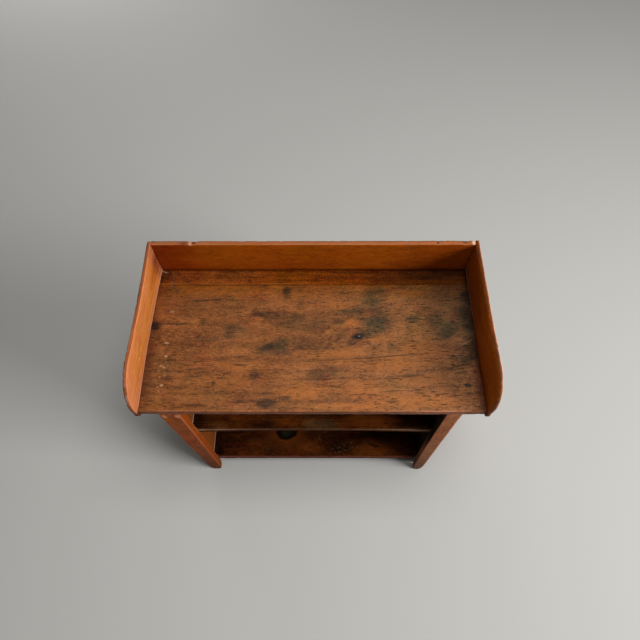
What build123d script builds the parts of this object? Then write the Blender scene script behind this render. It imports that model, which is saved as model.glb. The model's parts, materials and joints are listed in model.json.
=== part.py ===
from build123d import *
import os

# A small rustic bucket bench: a nailed two-board top with a low gallery round its back and ends,
# carried on a two-shelf case of plain end boards, narrow front stiles and a boarded back.
# All sizes are in millimetres. The bench stands on the XY plane and faces -Y.

# ---- top: a wide plank and a narrow strip behind it ----
top_width = 762.0
top_depth = 370.0
top_thickness = 18.0
top_overhang = 49.0
rear_strip_depth = 44.0

# ---- gallery: three boards nailed on the back and the ends of the top ----
gallery_rise = 105.0
gallery_lip = 9.0
gallery_side_thickness = 9.5
gallery_front_overhang = 5.0
gallery_toe_radius = 12.0
left_curve_run = 84.0
left_toe_height = 42.0
right_curve_run = 69.0
right_toe_height = 47.0

# ---- case: two end boards, two front stiles and a boarded back ----
end_board_thickness = 18.0
foot_cut_width = 190.0
foot_cut_height = 34.0
foot_cut_radius = 26.0
stile_width = 32.0
stile_depth = 20.0
stile_setback = 2.0
left_stile_flare = 13.0
right_stile_flare = 2.0
foot_wear_radius = 12.0
back_thickness = 12.0
back_board_count = 3
back_board_gap = 1.0
back_board_foot_lap = 10.0

# ---- shelves, let into shallow dadoes in the end boards ----
shelf_thickness = 16.0
foot_rail = 20.0
lower_bay = 274.0
upper_bay = 202.0
upper_shelf_hollow = 4.0
lower_shelf_hollow = 1.0
shelf_notch = 11.0
dado_depth = 5.0
dado_end_play = 0.3
dado_face_play = 0.2

# ---- worn arrises of the edges that hands and buckets rub ----
worn_arris = 1.5

# ---- cut nails ----
nail_head_length = 5.0
nail_head_width = 3.2
nail_head_thickness = 1.2
nail_shank_length = 3.0
nail_shank_width = 2.2
nail_tip = 1.2
long_nail = 44.0
short_nail = 34.0
top_nail_inset = 34.0
shelf_nail_inset = 70.0
stile_nail_inset = 70.0

# ---- heights, from the floor up ----
lower_shelf_height = foot_cut_height + foot_rail + shelf_thickness
upper_shelf_height = lower_shelf_height + lower_bay + shelf_thickness
top_underside = upper_shelf_height + upper_bay
top_height = top_underside + top_thickness
top_middle = top_underside + top_thickness / 2
gallery_bottom = top_underside - gallery_lip
gallery_top = top_height + gallery_rise
back_bottom = foot_cut_height + foot_rail - back_board_foot_lap
back_top = gallery_bottom - back_board_gap
back_board_height = (back_top - back_bottom + back_board_gap) / back_board_count - back_board_gap

# ---- places from front to rear ----
overall_depth = gallery_front_overhang + top_depth + back_thickness
gallery_front = -overall_depth / 2
top_front = gallery_front + gallery_front_overhang
top_rear = top_front + top_depth
rear_face = top_rear + back_thickness
strip_front = top_rear - rear_strip_depth
stile_front = top_front + stile_setback
case_front = stile_front + stile_depth

# ---- places from the middle out ----
tray_side = top_width / 2
gallery_outer = tray_side + gallery_side_thickness
case_side = tray_side - top_overhang
case_inner = case_side - end_board_thickness
end_board_middle = case_side - end_board_thickness / 2


def block(*faces):
    """A square-edged board between a pair of faces on each of the three axes, in either order."""
    size = [abs(b - a) for a, b in faces]
    middle = [(a + b) / 2 for a, b in faces]
    return Pos(*middle) * Box(*size)


def spread(first, last, count):
    """Evenly spaced places from first to last, both included."""
    return [first + (last - first) * i / (count - 1) for i in range(count)]


# ---- nails ----
def cut_nail(length):
    """One nail, its head's face at the origin and its shank running down -Z."""
    head = Box(nail_head_length, nail_head_width, nail_head_thickness,
               align=(Align.CENTER, Align.CENTER, Align.MAX))
    neck = Plane.XY.offset(-nail_head_thickness) * Rectangle(nail_shank_length, nail_shank_width)
    point = Plane.XY.offset(-length) * Rectangle(nail_tip, nail_tip)
    return head + loft([neck, point])


def nails_along(places, length, towards):
    """Nails with their heads at the given places, all driven in one direction."""
    return [Plane(origin=place, z_dir=-Vector(*towards)) * cut_nail(length) for place in places]


def top_nails(side):
    """Through the top into the upper end of a stile and the upper edge of its end board."""
    x = side * end_board_middle
    rows = [case_front - stile_depth / 2]
    rows += spread(case_front + top_nail_inset, strip_front - top_nail_inset, 4)
    rows += [top_rear - rear_strip_depth / 2]
    return nails_along([(x, y, top_height) for y in rows], long_nail, (0, 0, -1))


def gallery_side_nails(side):
    """Through a gallery side into the ends of the top's two boards."""
    rows = spread(top_front + top_nail_inset, strip_front - top_nail_inset, 3)
    rows += [top_rear - rear_strip_depth / 2]
    places = [(side * gallery_outer, y, top_middle) for y in rows]
    return nails_along(places, short_nail, (-side, 0, 0))


def gallery_corner_nails(side):
    """Through a gallery side into the end of the gallery's back board."""
    y = top_rear + back_thickness / 2
    heights = spread(top_height + gallery_rise / 4, gallery_top - gallery_rise / 4, 2)
    return nails_along([(side * gallery_outer, y, z) for z in heights], short_nail, (-side, 0, 0))


def gallery_back_nails():
    """Through the gallery's back board into the rear edge of the top."""
    reach = case_inner - top_nail_inset / 2
    places = [(x, rear_face, top_middle) for x in spread(-reach, reach, 5)]
    return nails_along(places, short_nail, (0, -1, 0))


def stile_nails(side):
    """Through a front stile into the front edge of its end board."""
    heights = spread(lower_shelf_height / 2, top_underside - stile_nail_inset, 5)
    places = [(side * end_board_middle, stile_front, z) for z in heights]
    return nails_along(places, long_nail, (0, 1, 0))


def shelf_nails(side, shelf_top):
    """Through an end board into the end of a shelf."""
    z = shelf_top - shelf_thickness / 2
    rows = spread(case_front + shelf_nail_inset, top_rear - shelf_nail_inset, 3)
    return nails_along([(side * case_side, y, z) for y in rows], long_nail, (-side, 0, 0))


def back_board_nails(index):
    """Through one back board into the rear edges of both end boards, two nails an end."""
    bottom = back_board_bottom(index)
    heights = spread(bottom + back_board_height / 4, bottom + back_board_height * 3 / 4, 2)
    places = [(side * end_board_middle, rear_face, z) for side in (-1, 1) for z in heights]
    return nails_along(places, short_nail, (0, -1, 0))


def shelf_back_nails():
    """Through the back boards into the rear edges of the two shelves."""
    reach = case_inner * 2 / 3
    heights = [shelf_top - shelf_thickness / 2 for shelf_top in (lower_shelf_height, upper_shelf_height)]
    places = [(x, rear_face, z) for z in heights for x in spread(-reach, reach, 3)]
    return nails_along(places, short_nail, (0, -1, 0))


# ---- boards ----
def top_front_board():
    """The wide plank of the top, its front arrises worn."""
    plank = block((-tray_side, tray_side), (top_front, strip_front), (top_underside, top_height))
    front = plank.faces().sort_by(Axis.Y)[0]
    return fillet(front.edges().filter_by(Axis.X), worn_arris)


def top_rear_strip():
    """The narrow strip that makes up the top's depth behind the plank."""
    return block((-tray_side, tray_side), (strip_front, top_rear), (top_underside, top_height))


def gallery_back_board():
    """The gallery's back, nailed on the top's rear edge between the two sides."""
    board = block((-tray_side, tray_side), (top_rear, rear_face), (gallery_bottom, gallery_top))
    upper = board.faces().sort_by(Axis.Z)[-1]
    return fillet(upper.edges().filter_by(Axis.X), worn_arris)


def gallery_side(side, curve_run, toe_height):
    """A gallery side: its front end sweeps down in a quarter of an ellipse to a rounded toe."""
    curve_rear = gallery_front + curve_run
    curve_foot = gallery_bottom + toe_height
    curve_rise = gallery_top - curve_foot
    outline = [
        EllipticalCenterArc((curve_rear, curve_foot), curve_run, curve_rise, 90, arc_size=90),
        Line((gallery_front, curve_foot), (gallery_front, gallery_bottom)),
        Line((gallery_front, gallery_bottom), (rear_face, gallery_bottom)),
        Line((rear_face, gallery_bottom), (rear_face, gallery_top)),
        Line((rear_face, gallery_top), (curve_rear, gallery_top)),
    ]
    face = make_face(outline)
    toe = face.vertices().sort_by(Axis.X)[:2].sort_by(Axis.Y)[0]
    face = fillet(toe, gallery_toe_radius)
    board = extrude(Plane.YZ.offset(side * tray_side) * face, side * gallery_side_thickness)
    rubbed = [edge for edge in board.edges().filter_by(Axis.X, reverse=True) if edge.center().Y < top_rear]
    return fillet(rubbed, worn_arris)


def dado(side, shelf_top):
    """The groove that takes a shelf's end, open at the front and rear edges of the end board."""
    return block((side * case_inner, side * (case_inner + dado_depth)), (case_front, top_rear),
                 (shelf_top - shelf_thickness, shelf_top + dado_face_play))


def end_board(side):
    """An end of the case, grooved for both shelves and cut away below to leave two feet."""
    board = block((side * case_inner, side * case_side), (case_front, top_rear), (0, top_underside))
    radius = min(foot_cut_radius, 0.95 * foot_cut_height)
    arch = Plane.YZ * RectangleRounded(foot_cut_width, 2 * foot_cut_height, radius)
    arch = Pos(side * end_board_middle, (case_front + top_rear) / 2, 0) * arch
    board -= extrude(arch, end_board_thickness, both=True)
    return board - [dado(side, lower_shelf_height), dado(side, upper_shelf_height)]


def front_stile(side, flare):
    """An upright on the front edge of an end board, sawn wider outside towards the top, its foot worn round."""
    inner, outer = side * (case_side - stile_width), side * case_side
    outline = Polyline((inner, 0), (outer, 0), (outer + side * flare, top_underside), (inner, top_underside),
                       close=True)
    stile = extrude(Plane.XZ.offset(-stile_front) * make_face(outline), -stile_depth)
    foot = stile.edges().filter_by(Axis.Y).group_by(Axis.Z)[0]
    stile = fillet(foot, foot_wear_radius)
    outline = stile.faces().sort_by(Axis.Y)[0].edges()
    return fillet(outline.sort_by(Axis.Z)[:-1], worn_arris)


def shelf(shelf_top, hollow):
    """A full-depth shelf, its front edge worn hollow, its front corners cut back behind the stiles."""
    half = case_inner + dado_depth - dado_end_play
    opening = case_side - stile_width
    notch_rear = case_front + shelf_notch
    right_end = Polyline((opening, case_front), (opening, notch_rear), (half, notch_rear), (half, top_rear))
    outline = [
        ThreePointArc((-opening, case_front), (0, case_front + hollow), (opening, case_front)),
        right_end,
        Line((half, top_rear), (-half, top_rear)),
        mirror(right_end, Plane.YZ),
    ]
    board = extrude(Plane.XY.offset(shelf_top - shelf_thickness) * make_face(outline), shelf_thickness)
    front = board.faces().sort_by(Axis.Y)[0]
    return fillet(front.edges().filter_by(Axis.Z, reverse=True), worn_arris)


def back_board_bottom(index):
    """The lower edge of one back board, counted from the lowest."""
    return back_bottom + index * (back_board_height + back_board_gap)


def back_board(index):
    """One of the level boards that close the back of the case."""
    bottom = back_board_bottom(index)
    return block((-case_side, case_side), (top_rear, rear_face), (bottom, bottom + back_board_height))


# ---- the bench, one named node a piece ----
SIDES = (("left", -1, left_stile_flare), ("right", 1, right_stile_flare))

boards = {
    "top_front_board": top_front_board(),
    "top_rear_strip": top_rear_strip(),
    "gallery_back_board": gallery_back_board(),
    "gallery_left_side": gallery_side(-1, left_curve_run, left_toe_height),
    "gallery_right_side": gallery_side(1, right_curve_run, right_toe_height),
    "upper_shelf": shelf(upper_shelf_height, upper_shelf_hollow),
    "lower_shelf": shelf(lower_shelf_height, lower_shelf_hollow),
}
nails = {
    "gallery_back_nails": gallery_back_nails(),
    "shelf_back_nails": shelf_back_nails(),
}
for name, side, flare in SIDES:
    boards[f"{name}_end_board"] = end_board(side)
    boards[f"{name}_front_stile"] = front_stile(side, flare)
    nails[f"top_nails_{name}"] = top_nails(side)
    nails[f"gallery_side_nails_{name}"] = gallery_side_nails(side)
    nails[f"gallery_corner_nails_{name}"] = gallery_corner_nails(side)
    nails[f"stile_nails_{name}"] = stile_nails(side)
    nails[f"lower_shelf_nails_{name}"] = shelf_nails(side, lower_shelf_height)
    nails[f"upper_shelf_nails_{name}"] = shelf_nails(side, upper_shelf_height)
for index in range(back_board_count):
    boards[f"back_board_{index + 1}"] = back_board(index)
    nails[f"back_board_nails_{index + 1}"] = back_board_nails(index)


def reaches(nail, board):
    """Whether a nail's box meets a board's box, so that the board needs its hole."""
    a, b = nail.bounding_box(), board.bounding_box()
    return all(lo_a < hi_b and lo_b < hi_a
               for lo_a, hi_a, lo_b, hi_b in zip(a.min, a.max, b.min, b.max))


def nailed(board):
    """The board with the hole that each nail through it has made."""
    through = [nail for group in nails.values() for nail in group if reaches(nail, board)]
    return board - through if through else board


os.makedirs("parts", exist_ok=True)
for name, board in boards.items():
    export_step(nailed(board), f"parts/{name}.step")
for name, group in nails.items():
    export_step(Compound(children=group), f"parts/{name}.step")
print(f"{len(boards)} boards, {sum(len(group) for group in nails.values())} nails in {len(nails)} groups")
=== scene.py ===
import json
import math
import random
from functools import cache, reduce

import bmesh
import bpy
from mathutils import Matrix, Vector, kdtree, noise


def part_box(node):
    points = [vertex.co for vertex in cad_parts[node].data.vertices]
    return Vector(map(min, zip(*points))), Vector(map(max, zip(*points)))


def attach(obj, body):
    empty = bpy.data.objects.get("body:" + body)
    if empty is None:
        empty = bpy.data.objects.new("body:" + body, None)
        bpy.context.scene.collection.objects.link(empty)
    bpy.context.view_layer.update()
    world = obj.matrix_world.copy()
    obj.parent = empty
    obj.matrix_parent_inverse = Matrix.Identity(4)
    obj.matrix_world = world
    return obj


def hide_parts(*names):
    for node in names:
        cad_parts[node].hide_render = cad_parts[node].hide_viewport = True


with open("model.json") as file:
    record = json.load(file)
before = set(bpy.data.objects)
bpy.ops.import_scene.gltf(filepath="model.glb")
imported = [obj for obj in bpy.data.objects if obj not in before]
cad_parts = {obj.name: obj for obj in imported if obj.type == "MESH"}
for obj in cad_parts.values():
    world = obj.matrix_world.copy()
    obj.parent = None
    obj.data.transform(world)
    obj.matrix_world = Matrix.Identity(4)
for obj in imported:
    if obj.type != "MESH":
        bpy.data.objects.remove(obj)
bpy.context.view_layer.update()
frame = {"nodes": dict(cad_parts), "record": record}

# An old nailed pine bucket bench. Places are in metres in the frame's own axes: the bench stands on
# the XY plane and faces -Y. Sizes that a maker would measure are written in millimetres.
MM = 0.001
X_AXIS, Y_AXIS, Z_AXIS = 0, 1, 2

# ---- the bench's main places, read from the frame ----
plank_low, plank_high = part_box("top_front_board")
strip_low, strip_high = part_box("top_rear_strip")
gallery_low, gallery_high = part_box("gallery_left_side")
upper_low, upper_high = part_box("upper_shelf")
lower_low, lower_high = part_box("lower_shelf")
tray_floor = plank_high.z
tray_side = plank_high.x
tray_rear = strip_high.y
seam = strip_low.y
case_inner, case_side = (corner.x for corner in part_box("right_end_board"))
stile_inner = -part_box("left_front_stile")[1].x

# ---- gallery sides ----
left_curve_run = 84 * MM
left_toe_height = 42 * MM
right_curve_run = 69 * MM
right_toe_height = 47 * MM
toe_radius = 12 * MM
curve_steps = 28
left_side_bow = 3.5 * MM
left_foot_bow = 4.5 * MM
left_bow_reach = 60 * MM
right_side_flare = 3 * MM

# ---- gallery back: its top edge falls to the right; a chip has a place, a half width and a depth ----
back_edge_lift = 0.6 * MM
back_edge_fall = 1.2 * MM
back_chip_height = 6 * MM
back_chips = ((-284 * MM, 8 * MM, 2.2 * MM), (293 * MM, 5 * MM, 1.5 * MM), (358 * MM, 12 * MM, 2 * MM))

# ---- end boards ----
foot_cut_width = 190 * MM
foot_cut_height = 34 * MM
foot_cut_radius = 26 * MM
groove_mouth = 5 * MM
shelf_play = 0.2 * MM
shelf_end_play = 0.3 * MM

# ---- stiles: the foot is worn outside and from behind, and the left one has a round nose inside ----
foot_wear_radius = 12 * MM
foot_wear_height = 46 * MM
foot_wear_share = 0.5
foot_wear_power = 1.7
foot_wear_rear = 0.75
foot_nose_height = 25 * MM
foot_nose_share = {"left": 0.85, "right": 0.0}
left_stile_shift = {"foot": 3 * MM, "head": 2 * MM}
right_stile_shift = {"foot": 4 * MM, "head": -4 * MM}

# ---- shelves ----
upper_shelf_hollow = 4 * MM
lower_shelf_hollow = 1 * MM
shelf_hollow_reach = 60 * MM
shelf_notch = 11 * MM

# ---- how far a cutter runs past the faces that it opens ----
past_side = 10 * MM
past_end = 5 * MM
past_foot = 20 * MM

# ---- wear: a noise layer is given by how fine it is, in waves to the metre, and by its weight ----
sharp_angle = math.radians(30)
smooth_angle = math.radians(42)
weld = 1e-6
flat_area = 200 * MM * MM
support_width = 2.5 * MM
face_step = 9 * MM
fine_step = 4.5 * MM
coarse_step = 14 * MM
arris_step = 2 * MM
arris_reach = 5 * MM
arris_rub = 0.2
arris_chips = 2
chip_least = 0.12
dent_reach = 8 * MM
dent_depth = 0.5 * MM
ripple_layers = ((11, 1.0), (37, 0.45))
chip_layers = ((55, 1.0), (170, 0.6))

# ---- nails ----
nail_head = Vector((5.0, 3.2, 1.5)) * MM
nail_head_ease = 0.55 * MM
nail_hammering = 0.16 * MM
nail_proud = 0.25 * MM
nail_shank = 2.4 * MM
nail_point = 1.2 * MM
nail_shank_seat = 0.3 * MM
nail_corner = 0.7
nail_turn = 0.5


# =====================================================================================
# Boards
# =====================================================================================
def box_board(low, high):
    """A square-edged board between two corners."""
    bm = bmesh.new()
    bmesh.ops.create_cube(bm, size=1.0)
    bmesh.ops.scale(bm, vec=high - low, verts=bm.verts)
    bmesh.ops.translate(bm, vec=(low + high) / 2, verts=bm.verts)
    return bm


def mesh_piece(name, bm):
    """A new object from a bmesh, its place in its mesh."""
    mesh = bpy.data.meshes.new(name)
    bm.to_mesh(mesh)
    bm.free()
    piece = bpy.data.objects.new(name, mesh)
    bpy.context.scene.collection.objects.link(piece)
    return piece


def stand_for(piece, node):
    """The piece takes the place of a CAD node, which is hidden, and hangs from the root body."""
    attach(piece, "root")
    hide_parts(node)
    return piece


def carve(bm, *cutters):
    """A board with the cutters' shapes taken out of it."""
    board = mesh_piece("board_blank", bm)
    tools = [mesh_piece(f"cutter_{i}", cutter) for i, cutter in enumerate(cutters)]
    for tool in tools:
        cut = board.modifiers.new(tool.name, "BOOLEAN")
        cut.operation = "DIFFERENCE"
        cut.solver = "EXACT"
        cut.object = tool
    carved = bmesh.new()
    carved.from_object(board, bpy.context.evaluated_depsgraph_get())
    for piece in [board, *tools]:
        bpy.data.meshes.remove(piece.data)
    bmesh.ops.remove_doubles(carved, verts=carved.verts, dist=weld)
    return carved


def sharp_edges(bm):
    """The edges where two faces meet at a clear angle."""
    return [edge for edge in bm.edges if edge.is_manifold and edge.calc_face_angle() > sharp_angle]


def level_edges(bm, axis, height):
    """The edges at one height that run along an axis."""
    found = []
    for edge in bm.edges:
        start, end = (vert.co for vert in edge.verts)
        level = abs(start.z - height) < MM and abs(end.z - height) < MM
        if level and abs(start[axis] - end[axis]) > MM:
            found.append(edge)
    return found


def arris_map(bm):
    """Places along every sharp edge, to measure how far a point is from the nearest arris."""
    places = []
    for edge in sharp_edges(bm):
        start, end = (vert.co for vert in edge.verts)
        count = max(1, math.ceil((end - start).length / arris_step))
        places += [start.lerp(end, i / count) for i in range(count + 1)]
    tree = kdtree.KDTree(len(places))
    for i, place in enumerate(places):
        tree.insert(place, i)
    tree.balance()
    return tree


def cut_across(bm, axis, step):
    """Cuts a board along evenly spaced planes square to one axis."""
    ends = [vert.co[axis] for vert in bm.verts]
    low, high = min(ends), max(ends)
    normal = Vector([float(i == axis) for i in range(3)])
    count = max(1, round((high - low) / step))
    for i in range(1, count):
        everything = bm.verts[:] + bm.edges[:] + bm.faces[:]
        place = normal * (low + (high - low) * i / count)
        bmesh.ops.bisect_plane(bm, geom=everything, dist=weld, plane_co=place, plane_no=normal)


def support_flats(bm):
    """A narrow margin round each flat face, so that shading stays flat up to the arris."""
    flats = [face for face in bm.faces
             if face.calc_area() > flat_area and max(map(abs, face.normal)) > 0.9999]
    bmesh.ops.inset_individual(bm, faces=flats, thickness=support_width, use_even_offset=True)


def nail_heads(*nodes):
    """Where the heads of these nodes' nails are, to dent the wood round them."""
    return [nail["head"] for node in nodes for nail in nails_in(node)]


def roughness_at(place, layers):
    """A noise of several layers at a place."""
    return sum(weight * noise.noise(place * fineness) for fineness, weight in layers)


def weather(bm, arrises, seed, ripple, nicks, dents, thickness):
    """Ages a board: its faces ripple, its arrises wear and chip, and its nails sit in dents.

    Each point keeps its distance to the nearest arris, and its share of the way through the board
    where thickness gives an axis, a start and an end.
    """
    away = Vector((7.3, 3.1, 11.7)) * seed
    bm.normal_update()
    arris = bm.verts.layers.float.new("arris")
    across = bm.verts.layers.float.new("across")
    moves = []
    for vert in bm.verts:
        if thickness:
            axis, start, end = thickness
            vert[across] = (vert.co[axis] - start) / (end - start)
        distance = arrises.find(vert.co)[2]
        vert[arris] = distance
        place = vert.co + away
        wave = roughness_at(place, ripple_layers)
        chip = max(0.0, roughness_at(place, chip_layers) - chip_least)
        edge = max(0.0, 1 - distance / arris_reach)
        worn = nicks * edge * (arris_rub + arris_chips * chip)
        dent = max([0.0] + [1 - (vert.co - head).length / dent_reach for head in dents])
        moves.append(vert.normal * (ripple * wave - worn - dent_depth * dent ** 2))
    for vert, move in zip(bm.verts, moves):
        vert.co += move


def finish_board(name, node, bm, seed, radius, steps, ripple=0.3 * MM, nicks=0.9 * MM, dents=(), warp=None,
                 thickness=None):
    """Eases a board's arrises, cuts its faces fine enough to wear, ages it and sets it in the frame."""
    arrises = arris_map(bm)
    bmesh.ops.bevel(bm, geom=sharp_edges(bm), offset=radius, segments=3, profile=0.5,
                    affect="EDGES", material=-1, clamp_overlap=True)
    support_flats(bm)
    for axis in sorted(range(3), key=lambda i: -steps[i]):
        cut_across(bm, axis, steps[axis])
    weather(bm, arrises, seed, ripple, nicks, dents, thickness)
    if warp:
        for vert in bm.verts:
            warp(vert.co)
    piece = mesh_piece(name, bm)
    piece.data.shade_smooth()
    piece.data.set_sharp_from_angle(angle=smooth_angle)
    return stand_for(piece, node)


def clamp(value):
    """The value, kept between 0 and 1."""
    return min(1.0, max(0.0, value))


def smooth_ramp(value, start, end):
    """0 before start, 1 after end, and a smooth rise between them."""
    share = clamp((value - start) / (end - start))
    return share * share * (3 - 2 * share)


def side_name(side):
    return "left" if side < 0 else "right"


def left_side_shift(place):
    """How far the left gallery side is out of true at a place: its foot bows out, its top edge in."""
    along = clamp((place.y - gallery_low.y) / (gallery_high.y - gallery_low.y))
    height = smooth_ramp(place.z, gallery_low.z, gallery_high.z)
    return math.sin(math.pi * along) * (left_side_bow * height - left_foot_bow * (1 - height))


def follow_left_side(place):
    """The left end of a board of the top meets the bowed foot of the gallery side."""
    place.x += left_side_shift(place) * smooth_ramp(-place.x, tray_side - left_bow_reach, tray_side)


def top_board(name, node, seed, radius, nicks):
    """A board of the top."""
    dents = nail_heads("top_nails_left", "top_nails_right")
    return finish_board(name, node, box_board(*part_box(node)), seed, radius,
                        (fine_step, face_step, coarse_step), nicks=nicks, dents=dents, warp=follow_left_side)


def gallery_back():
    """The gallery's back, its top edge a little higher at the left and chipped near both ends."""
    low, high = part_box("gallery_back_board")

    def warp(place):
        rise = smooth_ramp(place.z, low.z, high.z)
        place.z += rise * (back_edge_lift - back_edge_fall * smooth_ramp(place.x, low.x, high.x))
        for x, half_width, depth in back_chips:
            near = max(0.0, 1 - ((place.x - x) / half_width) ** 2)
            place.z -= depth * near * smooth_ramp(place.z, high.z - back_chip_height, high.z)

    dents = nail_heads("gallery_back_nails")
    return finish_board("gallery_back", "gallery_back_board", box_board(low, high), seed=3, radius=2.0 * MM,
                        steps=(fine_step, coarse_step, face_step), nicks=1.2 * MM, dents=dents, warp=warp,
                        thickness=(Y_AXIS, low.y, high.y))


def gallery_side(side, curve_run, toe_height):
    """A gallery side: its front end sweeps down in a quarter of an ellipse to a rounded toe."""
    name = side_name(side)
    low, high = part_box(f"gallery_{name}_side")
    bm = bmesh.new()
    crown = bm.verts.new((0, 0, 1))
    swept = bmesh.ops.spin(bm, geom=[crown], axis=(1, 0, 0), cent=(0, 0, 0), angle=math.radians(90),
                           steps=curve_steps)
    bmesh.ops.scale(bm, vec=(1, curve_run, high.z - low.z - toe_height), verts=bm.verts)
    bmesh.ops.translate(bm, vec=(low.x, low.y + curve_run, low.z + toe_height), verts=bm.verts)
    curve_end = swept["geom_last"][0]
    toe = bm.verts.new((low.x, low.y, low.z))
    heel = bm.verts.new((low.x, high.y, low.z))
    corner = bm.verts.new((low.x, high.y, high.z))
    for pair in ((curve_end, toe), (toe, heel), (heel, corner), (corner, crown)):
        bm.edges.new(pair)
    bmesh.ops.contextual_create(bm, geom=bm.edges[:])
    bmesh.ops.bevel(bm, geom=[toe], offset=toe_radius, segments=6, profile=0.5, affect="VERTICES",
                    material=-1)
    grown = bmesh.ops.extrude_face_region(bm, geom=bm.faces[:])
    far_side = [item for item in grown["geom"] if isinstance(item, bmesh.types.BMVert)]
    bmesh.ops.translate(bm, vec=(high.x - low.x, 0, 0), verts=far_side)
    bmesh.ops.recalc_face_normals(bm, faces=bm.faces)

    def warp(place):
        if side < 0:
            place.x += left_side_shift(place)
        else:
            height = smooth_ramp(place.z, low.z, high.z)
            place.x += right_side_flare * height * smooth_ramp(-place.y, 0, -low.y)

    inner, outer = (high.x, low.x) if side < 0 else (low.x, high.x)
    dents = nail_heads(f"gallery_side_nails_{name}", f"gallery_corner_nails_{name}")
    return finish_board(f"gallery_side_{name}", f"gallery_{name}_side", bm, seed=5 + side, radius=1.6 * MM,
                        steps=(coarse_step, fine_step, face_step), nicks=1.0 * MM, dents=dents, warp=warp,
                        thickness=(X_AXIS, inner, outer))


def front_stile(side, shift):
    """An upright, sawn wider outside towards its head, its inner edge out of true, its foot worn."""
    name = side_name(side)
    low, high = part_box(f"{name}_front_stile")
    bm = box_board(low, high)
    for vert in bm.verts:
        if vert.co.z < low.z + MM and side * vert.co.x > case_side:
            vert.co.x = side * case_side
    foot_middle = side * (case_side + stile_inner) / 2
    foot = level_edges(bm, Y_AXIS, low.z)
    bmesh.ops.bevel(bm, geom=foot, offset=foot_wear_radius, segments=5, profile=0.5, affect="EDGES",
                    material=-1)

    def warp(place):
        up = (place.z - low.z) / (high.z - low.z)
        inward = smooth_ramp(-side * place.x, -case_side, -stile_inner)
        place.x += inward * (shift["foot"] + (shift["head"] - shift["foot"]) * up)
        worn = (1 - clamp((place.z - low.z) / foot_wear_height)) ** foot_wear_power
        nose = 1 - clamp((place.z - low.z) / foot_nose_height)
        if side * (place.x - foot_middle) > 0:
            share = foot_wear_share * worn
        else:
            share = foot_nose_share[name] * (1 - math.sqrt(1 - nose * nose))
        place.x = foot_middle + (place.x - foot_middle) * (1 - share)
        place.y = low.y + (place.y - low.y) * (1 - foot_wear_rear * worn)

    dents = nail_heads(f"stile_nails_{name}")
    return finish_board(f"stile_{name}", f"{name}_front_stile", bm, seed=8 + side, radius=1.6 * MM,
                        steps=(face_step, face_step, fine_step), nicks=0.9 * MM, dents=dents, warp=warp)


def end_board(side):
    """An end of the case, grooved for both shelves and cut away below to leave two feet."""
    name = side_name(side)
    low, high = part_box(f"{name}_end_board")
    mouth = side * case_inner - side * groove_mouth
    bottom = side * max(abs(upper_low.x), abs(upper_high.x)) + side * shelf_end_play
    near, far = sorted((mouth, bottom))
    grooves = [box_board(Vector((near, low.y - past_side, shelf_low.z)),
                         Vector((far, high.y + past_side, shelf_high.z + shelf_play)))
               for shelf_low, shelf_high in ((upper_low, upper_high), (lower_low, lower_high))]
    middle = (low.y + high.y) / 2
    arch = box_board(Vector((low.x - past_end, middle - foot_cut_width / 2, low.z - past_foot)),
                     Vector((high.x + past_end, middle + foot_cut_width / 2, low.z + foot_cut_height)))
    crown = level_edges(arch, X_AXIS, low.z + foot_cut_height)
    bmesh.ops.bevel(arch, geom=crown, offset=foot_cut_radius, segments=10, profile=0.5, affect="EDGES",
                    material=-1)
    bm = carve(box_board(low, high), arch, *grooves)
    dents = nail_heads(f"lower_shelf_nails_{name}", f"upper_shelf_nails_{name}")
    return finish_board(f"end_board_{name}", f"{name}_end_board", bm, seed=11 + side, radius=0.9 * MM,
                        steps=(coarse_step, face_step, face_step), nicks=0.5 * MM, dents=dents)


def shelf(name, node, hollow, seed):
    """A full-depth shelf, its front edge worn hollow, its front corners cut back behind the stiles."""
    low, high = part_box(node)
    corners = ((low.x - past_side, -stile_inner), (stile_inner, high.x + past_side))
    cutters = [box_board(Vector((start, low.y - past_side, low.z - past_side)),
                         Vector((end, low.y + shelf_notch, high.z + past_side)))
               for start, end in corners]
    bm = carve(box_board(low, high), *cutters)

    def warp(place):
        across = 1 - clamp(abs(place.x / stile_inner)) ** 2
        place.y += hollow * across * smooth_ramp(-place.y, -(low.y + shelf_hollow_reach), -low.y)

    return finish_board(name, node, bm, seed, radius=1.4 * MM, steps=(fine_step, face_step, coarse_step),
                        nicks=1.0 * MM, warp=warp)


def back_board(index):
    """One of the level boards that close the back of the case."""
    node = f"back_board_{index}"
    dents = nail_heads(f"back_board_nails_{index}", "shelf_back_nails")
    return finish_board(f"rear_board_{index}", node, box_board(*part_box(node)), seed=20 + index,
                        radius=0.8 * MM, steps=(face_step, coarse_step, face_step), ripple=0.4 * MM,
                        nicks=0.6 * MM, dents=dents)


# =====================================================================================
# Nails
# =====================================================================================
def islands(bm):
    """The separate shells of a mesh, each as a list of its points."""
    left = set(bm.verts)
    while left:
        found, edge_of = [], [left.pop()]
        while edge_of:
            vert = edge_of.pop()
            found.append(vert.co.copy())
            linked = [edge.other_vert(vert) for edge in vert.link_edges]
            linked = [other for other in linked if other in left]
            left.difference_update(linked)
            edge_of += linked
        yield found


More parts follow.
